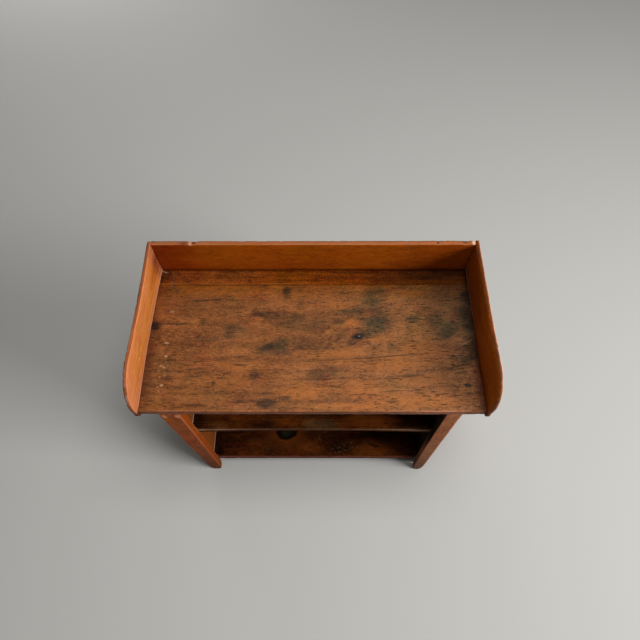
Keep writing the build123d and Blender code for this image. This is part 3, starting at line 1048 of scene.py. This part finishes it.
upper_marks = {
    "warm": [(-60, -140, 44, 12, 0, 0.5), (150, -140, 70, 16, 0, 0.8), (-180, -130, 36, 9, 0, 0.3)],
    "pale": [(16, -150, 36, 14, 0, 0.2), (-250, -156, 24, 10, 0, 0.09)],
    "dark": [(-130, -150, 30, 8, 4, 0.7), (70, -120, 26, 9, 0, 0.6), (232, -150, 26, 8, 0, 0.7)],
    "dust": [(30, -140, 60, 20, 0, 0.15)],
}
lower_marks = {
    "warm": [(-20, -134, 34, 16, 0, 0.6), (175, -140, 52, 22, 0, 0.7), (-180, -120, 36, 13, 0, 0.3)],
    "pale": [
        (10, -107, 2.1, 1.8, 0, 0.5), (15, -112, 1.8, 1.8, 0, 0.44), (70, -150, 2.1, 1.8, 0, 0.5),
        (90, -145, 1.8, 1.8, 0, 0.44), (110, -120, 2.1, 1.8, 0, 0.44), (-150, -140, 1.8, 1.8, 0, 0.33),
    ],
    "dark": [
        (-278, -136, 25, 5, 0, 1.0), (-292, -150, 12, 9, 0, 0.9), (72, -138, 32, 15, 0, 0.6),
        (-255, -115, 50, 34, 0, 0.5), (178, -129, 20, 4, -15, 0.8), (-40, -95, 34, 6, 0, 0.5),
        (130, -100, 34, 8, 0, 0.5), (-180, -100, 40, 12, 0, 0.4),
    ],
    "dust": [(92, -140, 42, 22, 0, 0.6), (0, -110, 40, 14, 0, 0.3), (-120, -130, 90, 20, 0, 0.15)],
}
lower_knot = (-93, -88)
# Marks on the left stile's face: a burnt dot, and two pale spots at its head, worn wood and painted
# highlights where its corners catch the light.
stile_dot = (-316, -186, 262)
stile_worn_glints = ((-334, -186, 538), (-305, -186, 540))


def knot_lift(board):
    """Swells the rings round the plank's two knots, so that the grain flows past them."""
    first = board.mark((109, -6, 0), (60, 34, ENDLESS), soft=1.0, ragged=0.25)
    second = board.mark((-376, 24, 0), (60, 26, ENDLESS), soft=1.0, ragged=0.25)
    return board.scaled(board.sum("ADD", first, second), 11 * MM)


def tray_board(name, seed, browns, corner_reach, lift=None, blotch=1.0, mottle=1.2):
    """What the plank and the strip share: browns, and corners darkened by dirt and painted shade, the darkest
    at the right.
    """
    board = Board(name, X_AXIS, seed, 5 * MM, (0.05, -0.09), lift, 10 * MM)
    board.colour(*browns, streak=0.8, rings=0.12, blotch=blotch, mottle=mottle, tint=0.7)
    strength = board.sum("MULTIPLY_ADD", board.towards("X", -330, 330), 0.2, 0.7)
    # The tray's corners darkened by dirt and painted shade, more towards the right.
    board.stain(board.both(board.shade_and_dirt_in_corners(tray_side, 1.6, corner_reach), strength), corner_shade_veil)
    return board


def pale_fibres(board, colour):
    """Bare fibres that stand a little proud and catch the light."""
    board.over(board.rise(board.grain["Fibre"], 0.58, 0.76), colour, 0.35)


def relief(board, dark_lines, raised=None):
    """The fine relief of an old planed board, its dark lines sunk a little."""
    board.raised(board.grain["Streaks"], 0.4 * MM).raised(board.grain["Fibre"], 0.14 * MM)
    board.raised(dark_lines, -0.35 * MM)
    if raised:
        board.raised(raised, 0.5 * MM)


def plank_finish():
    """The wide board of the top: stained by wet pots, marked by use and worn along its front edge, with
    painted shadow at its right rear and a painted glint on a knot.
    """
    board = tray_board("old_pine_top_plank", 1, TRAY_BROWN, 30 * MM, knot_lift)
    pale_fibres(board, plank_fibre)
    board.stain(board.towards("X", -60, 260), cool_veil)
    board.over(board.both(board.marks_on_top(warm_marks, 1.3, 1.4), board.half_patchy), honey)
    # Darker patches; the ones at the right rear are painted shadow of the right gallery side.
    board.stain(board.marks_on_top(shade_marks, 1.4, 1.4), shade_veil)
    damp = board.both(board.marks_on_top(damp_marks, 1.3, 1.5), board.soaked)
    board.stain(damp, damp_veil, 1.25)
    board.stain(board.both(board.marks_on_top(ink_marks, 0.95, 0.9), board.half_patchy), ink_veil)
    board.stain(board.marks_on_top(blot_marks, 1.1, 0.9), ink_veil, 0.8)
    dashes = board.both(board.marks_on_top(dash_marks, 1.0, 0.9), board.soaked)
    pores = board.sum("MULTIPLY_ADD", board.towards("X", -100, 250), 0.25, 0.7)
    dark_lines = board.either(dashes, board.both(pores, board.grain["Pores"]))
    board.stain(dark_lines, ink_veil)
    seam_dirt = board.both(board.line("Y", seam, 2.0 * MM), board.towards("X", 60, -260))
    board.stain(seam_dirt, soot_veil, 0.6)
    board.stain(board.towards("Y", 75, 142), golden_veil)
    board.stain(board.towards("Y", 1.5, 0.3, base=plank_low.y), front_veil)
    worn = board.both(board.worn_arris(4 * MM), board.towards("Y", -172, -184))
    board.over(worn, front_tan, 0.14)
    board.over(board.both(worn, board.marks_on_top(rub_marks, 1.0, 1.2)), rubbed_pink, 0.5)
    scrapes = board.marks_on_top(scrape_marks, 0.7, 0.2)
    scratches = use(board.tree, SCRATCHES, Place=board.place, Turn=0.5, Share=0.36)["Mask"]
    board.over(board.either(board.scaled(scrapes, 0.5), board.scaled(scratches, 0.15)), dusty_mauve)
    board.over(board.marks_on_top(plank_nail_marks, 0.9, 1.6, fine=True), nail_stain, 0.7)
    putty = board.marks_on_top(speck_marks, 0.9, 2.4, fine=True)
    board.over(putty, pale_putty, 0.68)
    # A small grey-white painted glint on the knot.
    board.over(board.mark((109, -5, 0), (2.6, 2.2, ENDLESS), strength=0.6, soft=1.0, ragged=0.5), knot_glint)
    relief(board, dark_lines, putty)
    roughness = board.sum("MULTIPLY_ADD", board.either(damp, dark_lines), 0.2, board.dull(22, 0.3, 0.36))
    return board.done(roughness, specular=0.16)


def strip_finish():
    """The narrow board behind the plank, darker, with painted shadow over its right part, its front arris a
    thin bright line of rubbed wood and painted highlight.
    """
    board = tray_board("old_pine_top_strip", 2, STRIP_BROWN, 12 * MM, blotch=0.6, mottle=1.6)
    pale_fibres(board, strip_fibre)
    board.stain(board.towards("X", -220, -60), yellow_veil)
    # The strip's right part is darker grey: painted shadow of the right gallery side.
    board.stain(board.towards("X", 60, 200), painted_shadow_veil)
    board.stain(board.both(board.marks_on_top(strip_ink_marks, 1.1, 1.0), board.half_patchy), soot_veil)
    dark_lines = board.scaled(board.grain["Pores"], 0.7)
    board.stain(dark_lines, ink_veil)
    left_part = board.towards("X", 40, -90)
    # A bright line along the front arris at the left: rubbed wood and painted highlight.
    bright_line = board.line("Y", seam + 2.4 * MM, 2.2 * MM)
    board.over(board.both(bright_line, left_part, board.half_patchy), honey, 0.4)
    board.stain(board.both(board.line("Y", seam, 1.8 * MM), left_part), soot_veil, 0.5)
    board.over(board.marks_on_top(strip_nail_marks, 0.9, 1.6, fine=True), nail_stain, 0.7)
    web = board.mark((-373, 175, 0), (8, 1.7, ENDLESS), -22, 0.6, soft=1.2, ragged=3.0, fine=True)
    board.over(web, dusty_mauve)
    relief(board, dark_lines)
    return board.done(board.dull(22, 0.3, 0.45), specular=0.04)


def gallery_board(name, grain, seed, ambers):
    """What the gallery's boards share: amber tones, a foot darkened by dirt and painted shade, scratches and
    dark pores.
    """
    board = Board(name, grain, seed, 3.2 * MM, (0.08, 0.03), wander=9 * MM)
    board.colour(*ambers, streak=1.1, rings=0.25, blotch=0.6, mottle=0.4, tint=0.4)
    board.across = add(board.tree, "Attribute", attribute_name="across").outputs["Fac"]
    board.inside = board.rise(board.across, 0.4, 0.1)
    # Darker along the foot inside: dirt and painted shade.
    dirty = board.towards("Z", 12, -2, ragged=22, base=tray_floor)
    board.stain(board.both(dirty, board.inside), soot_veil, 0.4)
    board.stain(board.grain["Pores"], ink_veil, 0.35)
    lines = use(board.tree, SCRATCHES, Place=board.grain_place, Turn=0.08, Share=0.42)["Mask"]
    board.over(lines, bare_pink, 0.05)
    return board


def gallery_edge(board, inner, middle, outer, dashes, arris_share=0.2, outer_share=0.74):
    """The edges of a gallery board, worn, with painted highlights and painted shade: its tones from the
    tray's face outwards, and dark dashes.
    """
    blend = 0.16
    wavy = board.sum("MULTIPLY_ADD", board.ragged, 0.35, board.across)
    edge = board.both(board.rise(board.across, 0.0, 0.08), board.rise(board.across, 0.998, 0.95))
    tone = mix(board.tree, board.rise(wavy, arris_share, arris_share + blend), inner, middle)
    tone = mix(board.tree, board.rise(wavy, outer_share, outer_share + blend), tone, outer)
    fleck = board.rise(board.cloud(60, 4, 0.65, (0.25, 1, 1)), 0.4, 0.75)
    tone = mix(board.tree, board.scaled(fleck, 0.4), tone, board.now)
    board.over(edge, tone, 0.9)
    dash = board.rise(board.cloud(70, 3, 0.6, (0.35, 1, 1)), 0.62 - 0.1 * dashes, 0.7 - 0.1 * dashes)
    dash = board.both(dash, board.rise(wavy, 0.55, 0.8), edge)
    board.over(dash, red_dark, 0.9)
    board.raised(board.grain["Streaks"], 0.35 * MM).raised(board.grain["Fibre"], 0.12 * MM)
    board.raised(dash, -0.4 * MM)


def gallery_done(board):
    return board.done(board.dull(18, 0.25, 0.42), specular=0.12)


def gallery_back_finish():
    """The gallery's back, redder towards its ends, darker towards its foot and its right end as painted
    shade, with dirty and bare chips along its edge.
    """
    board = gallery_board("old_pine_gallery_back", X_AXIS, 3, BACK_AMBER)
    # Darker and redder towards the foot: painted shade.
    shaded = board.towards("Z", 62, 8, ragged=30, base=tray_floor)
    board.stain(board.both(shaded, board.inside), red_veil, 0.35)
    # Darker at the right end: painted shade that deepens the right gallery side's shadow.
    board.stain(board.both(board.towards("X", 130, 320), board.inside), plum_veil)
    board.stain(board.both(board.towards("X", -230, -350), board.inside), red_veil)
    board.stain(board.both(board.line("Z", tray_floor, 4 * MM), board.inside), soot_veil, 0.8)
    gallery_edge(board, *BACK_EDGE, dashes=0.3)
    dirty = board.either(
        board.mark((293, 188, 685), (3, 5, 5)),
        board.mark((356, 190, 685), (7, 4, 4)),
        board.mark((-304, 186, 685), (11, 4, 5), strength=0.8, soft=1.0, ragged=1.6),
        board.mark((-279, 190, 684), (5, 6, 4), soft=1.0, ragged=1.2))
    board.over(dirty, red_dark, 0.65)
    bare = board.either(
        board.mark((377, 188, 685), (4, 6, 5), soft=1.0, ragged=1.6),
        board.mark((-288, 187, 684), (3.5, 6, 3), strength=0.4, soft=1.0, ragged=1.6))
    board.over(bare, bare_chip, 0.7)
    return gallery_done(board)


def gallery_left_finish():
    """The left side, which stands in the light, its ambers lighter as painted light: pink towards its top and
    front, a pink painted sheen low down, streaky, dusty along its foot.
    """
    board = gallery_board("old_pine_gallery_left", Y_AXIS, 4, LEFT_LIT_AMBER)
    board.stain(board.towards("Y", 40, 150), brass_veil, 0.8)
    board.over(board.both(board.towards("Y", 130, 164, ragged=60), board.inside), rear_grime, 0.9)
    # Pink along its top: rubbed wood and painted highlight.
    board.over(board.towards("Z", 642, 676, ragged=40), pink_top, 0.4)
    # Pink low down: painted sheen.
    board.over(board.towards("Z", 610, 586, ragged=30), pink_foot, 0.3)
    board.over(board.both(board.towards("Y", -90, -180), board.half_patchy), pink_front, 0.5)
    long_streaks = board.cloud(1.0, 3, 0.6, (7, 170, 170))
    board.over(board.rise(long_streaks, 0.52, 0.66), light_streak, 0.55)
    board.over(board.rise(long_streaks, 0.44, 0.32), dark_streak, 0.6)
    dust = board.line("Z", tray_floor + 0.8 * MM, 3.4 * MM)
    board.over(board.both(dust, board.inside, board.half_patchy), left_dust, 0.9)
    # Lilac on the edge towards the front: painted highlight.
    lilac = board.both(board.rise(board.cloud(26, 3, 0.6), 0.5, 0.62), board.towards("Y", -60, -130))
    middle = mix(board.tree, lilac, LEFT_EDGE_BROWN, LEFT_EDGE_LILAC)
    gallery_edge(board, LEFT_EDGE_INNER, middle, LEFT_EDGE_OUTER, dashes=1.0, arris_share=0.08)
    # The toe's tip is dark: painted shade under its rounded front.
    toe = board.both(board.towards("Y", -176, -187), board.towards("Z", 6, -2, base=tray_floor))
    board.over(toe, red_dark, 0.9)
    return gallery_done(board)


def gallery_right_finish():
    """The right side, which turns its inner face from the light: its edge is painted dark as shade on the
    tray's side and pale as a painted highlight on its outer arris.
    """
    board = gallery_board("old_pine_gallery_right", Y_AXIS, 5, RIGHT_AMBER)
    towards_rear = board.towards("Y", -20, 90)
    board.stain(towards_rear, rear_ash_veil, 0.8)
    dust = board.line("Z", tray_floor + 0.8 * MM, 2.4 * MM)
    board.over(board.both(dust, board.inside, towards_rear), right_dust)
    board.stain(board.towards("Y", -50, -130), front_ash_veil)
    # The edge: painted shade on the tray's side, a painted highlight on the outer arris.
    gallery_edge(board, *RIGHT_EDGE, dashes=0.4, arris_share=0.42)
    return gallery_done(board)


def case_finish(name, seed, browns):
    """A stile or an end board: rubbed arrises with a painted highlight high up, and a foot darkened by mops
    and boots, its lowest edge also by painted shade.
    """
    board = Board(name, Z_AXIS, seed, 3.6 * MM, (0.05, 0.07), wander=9 * MM)
    board.colour(*browns, streak=0.8, rings=0.25, blotch=0.9)
    board.stain(board.towards("Z", 520, 40), low_veil)
    board.stain(board.towards("Z", 190, 0, ragged=120), splash_veil, 0.8)
    # The lowest few millimetres darkened: dirt and painted contact shadow.
    board.stain(board.towards("Z", 14, 1, ragged=18), soot_veil, 0.8)
    board.stain(board.grain["Pores"], ink_veil, 0.5)
    board.over(board.rise(board.cloud(30, 4, 0.65), 0.56, 0.7), bare_pink, 0.12)
    # Pale arrises, stronger high up: rubbed wood and painted highlight.
    high_up = board.sum("MULTIPLY_ADD", board.towards("Z", 120, 450), 0.35, 0.2)
    board.over(board.both(board.worn_arris(3.2 * MM), high_up), bare_pink)
    return board


def inward_face(board, start, end):
    """The face of an upright that looks into the case, by its distance from the bench's middle."""
    return board.rise(board.sum("ABSOLUTE", board.axes["X"]), start, end)


def stile_finish(name, seed, browns, inner_tone, inner_strength, dot=None, worn_glints=()):
    """A stile: its inner side has its own tone, painted light on the left stile and painted shade on the
    right.
    """
    board = case_finish(name, seed, browns)
    inner_face = inward_face(board, case_inner - 12.5 * MM, case_inner - 15 * MM)
    # The inner side's tone: painted light on the left stile, painted shade on the right.
    board.over(inner_face, inner_tone, inner_strength)
    board.stain(board.both(inner_face, board.towards("Z", 90, 0)), foot_veil)
    dark_lines = board.scaled(board.grain["Pores"], 0.5)
    if dot:
        spot = board.mark(dot, (3.5, ENDLESS, 4.5), soft=0.5, ragged=0.5)
        board.stain(spot, soot_veil)
        dark_lines = board.either(dark_lines, spot)
    # Pale spots at the head: worn wood and painted highlights.
    for worn_glint in worn_glints:
        board.over(board.mark(worn_glint, (5, ENDLESS, 11), strength=0.9, soft=1.0), bare_pink)
    relief(board, dark_lines)
    matt_inside = 0.5 * inner_strength ** 2
    roughness = board.sum("MULTIPLY_ADD", inner_face, matt_inside, board.dull(18, 0.25, 0.48))
    return board.done(roughness, specular=0.06)


def end_finish(name, seed, inner_tone, inner_strength, dust_strength):
    """An end board: its inner face has its own tone, painted light on the left and painted shade on the
    right, and dust lies along the two shelves.
    """
    board = case_finish(name, seed, END_BROWN)
    inner_face = inward_face(board, case_inner + 1.5 * MM, case_inner)
    # The inner face's tone: painted light on the left end, painted shade on the right.
    board.over(inner_face, inner_tone, inner_strength)
    dust = board.either(*(board.line("Z", top + 2 * MM, 9 * MM) for top in (upper_high.z, lower_high.z)))
    board.over(board.both(dust, inner_face, board.half_patchy), shelf_dust, dust_strength)
    relief(board, board.scaled(board.grain["Pores"], 0.5))
    return board.done(board.dull(18, 0.25, 0.45), specular=0.15)


def shelf_knot(board, knot):
    """A black-ringed knot, its middle grey with old soap."""
    place = (*knot, 0)
    board.over(board.mark(place, (56, 42, ENDLESS), strength=0.6, soft=1.2), knot_brown)
    board.stain(board.mark(place, (33, 25, ENDLESS), soft=0.35, ragged=0.5), knot_veil)
    middle = board.mark(place, (18, 12, ENDLESS), strength=0.45, soft=1.2, ragged=1.4)
    board.over(board.both(middle, board.half_patchy), soap_grey)


def shelf_finish(name, seed, browns, shelf_top, marks, edge_tone, knot=None):
    """A shelf that has held wet buckets: dark brown, with warm, pale and black patches."""
    board = Board(name, X_AXIS, seed, 4 * MM, (0.04, 0.05), wander=9 * MM)
    board.colour(*browns, streak=0.9, rings=0.15, blotch=1.2)
    board.over(board.both(board.marks_on_top(marks["warm"], 1.5, 1.8), board.half_patchy), shelf_warm, 0.7)
    # The shelf's ends and rear darkened by dirt and painted shade.
    board.stain(board.shade_and_dirt_in_corners(case_inner, 1.4, 50 * MM), soot_veil, 0.8)
    board.stain(board.both(board.marks_on_top(marks["dark"], 1.0, 1.0), board.half_patchy), soot_veil)
    board.stain(board.grain["Pores"], soot_veil, 0.7)
    pale = board.both(board.marks_on_top(marks["pale"], 1.3, 1.8), board.half_patchy)
    if knot:
        shelf_knot(board, knot)
    dust = use(board.tree, SPECKS, Place=board.place, Scale=230.0, Share=0.45)["Mask"]
    dust = board.both(dust, board.marks_on_top(marks["dust"], 1.2, 1.5))
    board.over(board.either(board.scaled(pale, 0.7), dust), dusty_olive)
    front = board.both(board.towards("Y", 6, 1, base=upper_low.y), board.half_patchy)
    board.over(front, UPPER_SHELF_BROWN[1], 0.9)
    # A pale lip along the front arris: worn wood and painted highlight.
    board.over(board.both(front, board.towards("Z", -5, -2.5, base=shelf_top)), edge_tone)
    relief(board, board.scaled(board.grain["Pores"], 0.6))
    return board.done(board.dull(18, 0.25, 0.55), specular=0.03)


def rear_finish(name, seed):
    """Unfinished back boards, greyed, with the marks of the saw across them."""
    board = Board(name, X_AXIS, seed, 9 * MM, (0.04, 0.05), wander=26 * MM)
    board.colour(*RAW_PINE, streak=1.0, rings=0.3, blotch=0.9, tint=0.35)
    waves = {"Vector": board.place, "Scale": 60.0, "Distortion": 3.0, "Detail": 2.0, "Detail Scale": 2.0}
    saw = add(board.tree, "TexWave", waves, wave_type="BANDS", bands_direction="X").outputs["Fac"]
    board.over(saw, grime, 0.12)
    board.stain(board.grain["Pores"], ink_veil, 0.4)
    board.over(board.worn_arris(2.5 * MM), RAW_PINE[2], 0.4)
    board.stain(board.rise(board.arris, 1.2 * MM, 0.4 * MM), soot_veil)
    board.raised(board.grain["Streaks"], 0.5 * MM).raised(saw, 0.2 * MM)
    return board.done(board.dull(18, 0.15, 0.7))


def iron_finish():
    """Rusty nail iron."""
    board = Board("old_nail_iron", X_AXIS, 40)
    rust = board.cloud(420, 4, 0.65)
    board.now = tones(board.tree, rust, *IRON)
    board.raised(rust, 0.4 * MM)
    board.shader.inputs["Metallic"].default_value = 0.35
    return board.done(board.sum("MULTIPLY_ADD", rust, 0.3, 0.5))


# =====================================================================================
# The bench
# =====================================================================================
SLOTS = {row["node"]: row["material_slot"] for row in frame["record"]["subparts"]}


def dress(piece, material):
    """Gives a piece its one material."""
    piece.data.materials.clear()
    piece.data.materials.append(material)


dress(top_board("top_plank", "top_front_board", seed=1, radius=1.2 * MM, nicks=0.8 * MM), plank_finish())
dress(top_board("top_strip", "top_rear_strip", seed=2, radius=0.6 * MM, nicks=0.4 * MM), strip_finish())
dress(gallery_back(), gallery_back_finish())
dress(gallery_side(-1, left_curve_run, left_toe_height), gallery_left_finish())
dress(gallery_side(1, right_curve_run, right_toe_height), gallery_right_finish())
dress(shelf("shelf_upper", "upper_shelf", upper_shelf_hollow, seed=6),
      shelf_finish("old_pine_upper_shelf", 6, UPPER_SHELF_BROWN, upper_high.z, upper_marks, upper_edge))
dress(shelf("shelf_lower", "lower_shelf", lower_shelf_hollow, seed=7),
      shelf_finish("old_pine_lower_shelf", 7, LOWER_SHELF_BROWN, lower_high.z, lower_marks, lower_edge,
                   lower_knot))
dress(front_stile(-1, left_stile_shift),
      stile_finish("old_pine_stile_left", 8, LEFT_CASE_BROWN, left_stile_inside_lit, 0.6, stile_dot, stile_worn_glints))
dress(front_stile(1, right_stile_shift),
      stile_finish("old_pine_stile_right", 10, RIGHT_CASE_BROWN, right_stile_inside_shade, 0.95))
dress(end_board(-1), end_finish("old_pine_end_board_left", 11, left_end_inside_lit, 0.7, dust_strength=0.9))
dress(end_board(1), end_finish("old_pine_end_board_right", 13, right_end_inside_shade, 0.9, dust_strength=0.1))
for index in (1, 2, 3):
    dress(back_board(index), rear_finish(f"old_pine_rear_board_{index}", 15 + index))
iron = iron_finish()
nail_nodes = sorted(node for node, slot in SLOTS.items() if slot == "nail_iron")
for seed, node in enumerate(nail_nodes):
    dress(nail_group(node, seed), iron)

# =====================================================================================
# Floor, light and camera
# =====================================================================================
floor_size = 6.0
floor_drop = 0.3 * MM
floor_grey = paint(180, 179, 175)
floor_roughness = 0.85

floor_bm = bmesh.new()
bmesh.ops.create_grid(floor_bm, x_segments=1, y_segments=1, size=floor_size)
bmesh.ops.translate(floor_bm, vec=(0, 0, -floor_drop), verts=floor_bm.verts)
floor = mesh_piece("floor", floor_bm)
floor_paint = bpy.data.materials.new("pale_floor")
floor_paint.use_nodes = True
floor_shader = floor_paint.node_tree.nodes["Principled BSDF"]
floor_shader.inputs["Base Color"].default_value = floor_grey
floor_shader.inputs["Roughness"].default_value = floor_roughness
dress(floor, floor_paint)


def soft_light(name, place, aim, size, watts):
    """A white sheet of light, width by height, at a place and aimed at another."""
    lamp = bpy.data.lights.new(name, "AREA")
    lamp.shape = "RECTANGLE"
    lamp.size, lamp.size_y = size
    lamp.energy = watts
    holder = bpy.data.objects.new(name, lamp)
    holder.location = place
    holder.rotation_euler = (Vector(aim) - Vector(place)).to_track_quat("-Z", "Y").to_euler()
    bpy.context.scene.collection.objects.link(holder)


window_aim = Vector((0, 0, 0.45))
window_way = Vector((1.0, -0.40, 0.62)).normalized()
window_distance = 4.3
soft_light("window_light", window_aim + window_way * window_distance, window_aim, (1.9, 1.6), watts=178)
soft_light("ceiling_light", (0.45, -0.15, 3.3), (0, 0, 0.5), (1.3, 1.3), watts=52)
soft_light("rear_light", (-1.6, 3.4, 1.0), (0, 0, 0.35), (1.8, 1.2), watts=26)
world = bpy.data.worlds.new("studio")
world.use_nodes = True
air = world.node_tree.nodes["Background"]
air.inputs["Color"].default_value = (1.0, 0.97, 0.93, 1.0)
air.inputs["Strength"].default_value = 0.10
bpy.context.scene.world = world
bpy.context.scene.view_settings.view_transform = "Standard"

camera_place = Vector((0.0304, -0.5440, 1.6709))
camera_pitch, camera_yaw, camera_roll = 1.0804, 0.0233, -0.0216
camera_lens = 29.18
camera_sensor = 36.0
camera = bpy.data.objects.new("camera", bpy.data.cameras.new("camera"))
camera.data.lens = camera_lens
camera.data.sensor_width = camera_sensor
camera.data.clip_start = 0.05
camera.matrix_world = (Matrix.Translation(camera_place) @ Matrix.Rotation(camera_yaw, 4, "Z")
                       @ Matrix.Rotation(math.pi / 2 - camera_pitch, 4, "X")
                       @ Matrix.Rotation(camera_roll, 4, "Z"))
bpy.context.scene.collection.objects.link(camera)
bpy.context.scene.camera = camera
